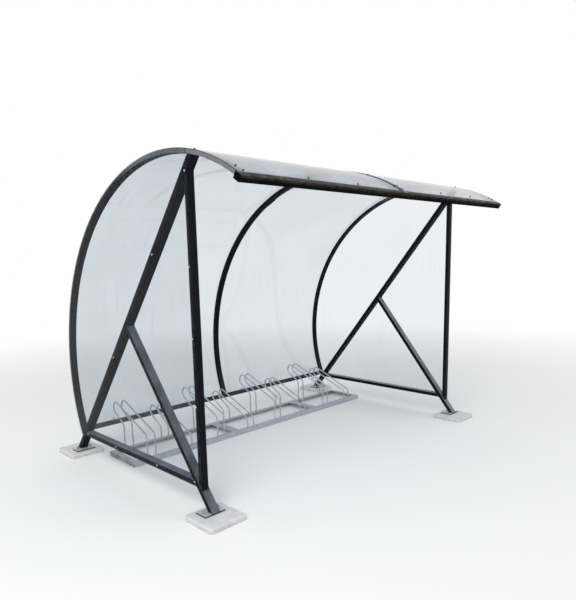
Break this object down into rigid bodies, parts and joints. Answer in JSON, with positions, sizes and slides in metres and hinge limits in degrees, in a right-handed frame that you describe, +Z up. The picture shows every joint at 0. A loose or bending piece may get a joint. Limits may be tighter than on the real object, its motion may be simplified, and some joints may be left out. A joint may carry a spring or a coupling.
{
  "type": "bike shelter",
  "caption": "Curved clear-roofed bicycle shelter on a dark tubular frame, open at the front, with a galvanised ground rack of alternating high and low wheel holders.",
  "frame": {"origin": "middle of the footprint at ground level", "axes": "+X along the length to the right seen from the open front, +Y from the open front to the back, +Z up"},
  "size_m": [3.23, 2.3655, 2.2365],
  "materials": {
    "frame_paint": "satin anthracite powder coat",
    "galvanised_plate": "weathered galvanised steel",
    "concrete": "pale cast concrete",
    "clear_sheet": "clear polycarbonate, slightly hazed",
    "dark_plastic": "matt black",
    "galvanised_steel": "hot-dip galvanised"
  },
  "bodies": {
    "root": {"left_hoop": "frame_paint", "left_brace": "frame_paint", "left_strut": "frame_paint", "left_post": "frame_paint", "left_bottom_rail": "frame_paint", "left_front_foot_plate": "galvanised_plate", "left_rear_foot_plate": "galvanised_plate", "left_front_pad": "concrete", "left_rear_pad": "concrete", "left_end_panel": "clear_sheet", "left_roof_sheet": "clear_sheet", "left_rail_cap": "dark_plastic", "right_hoop": "frame_paint", "right_brace": "frame_paint", "right_strut": "frame_paint", "right_post": "frame_paint", "right_bottom_rail": "frame_paint", "right_front_foot_plate": "galvanised_plate", "right_rear_foot_plate": "galvanised_plate", "right_front_pad": "concrete", "right_rear_pad": "concrete", "right_end_panel": "clear_sheet", "right_roof_sheet": "clear_sheet", "right_rail_cap": "dark_plastic", "middle_hoop": "frame_paint", "front_rail": "frame_paint", "rear_rail": "frame_paint", "seam_strip": "frame_paint", "rack_frame_left": "galvanised_steel", "rack_frame_middle": "galvanised_steel", "rack_frame_right": "galvanised_steel", "wheel_holder_1": "galvanised_steel", "wheel_holder_2": "galvanised_steel", "wheel_holder_3": "galvanised_steel", "wheel_holder_4": "galvanised_steel", "wheel_holder_5": "galvanised_steel", "wheel_holder_6": "galvanised_steel", "wheel_holder_7": "galvanised_steel", "wheel_holder_8": "galvanised_steel"}
  },
  "joints": []
}
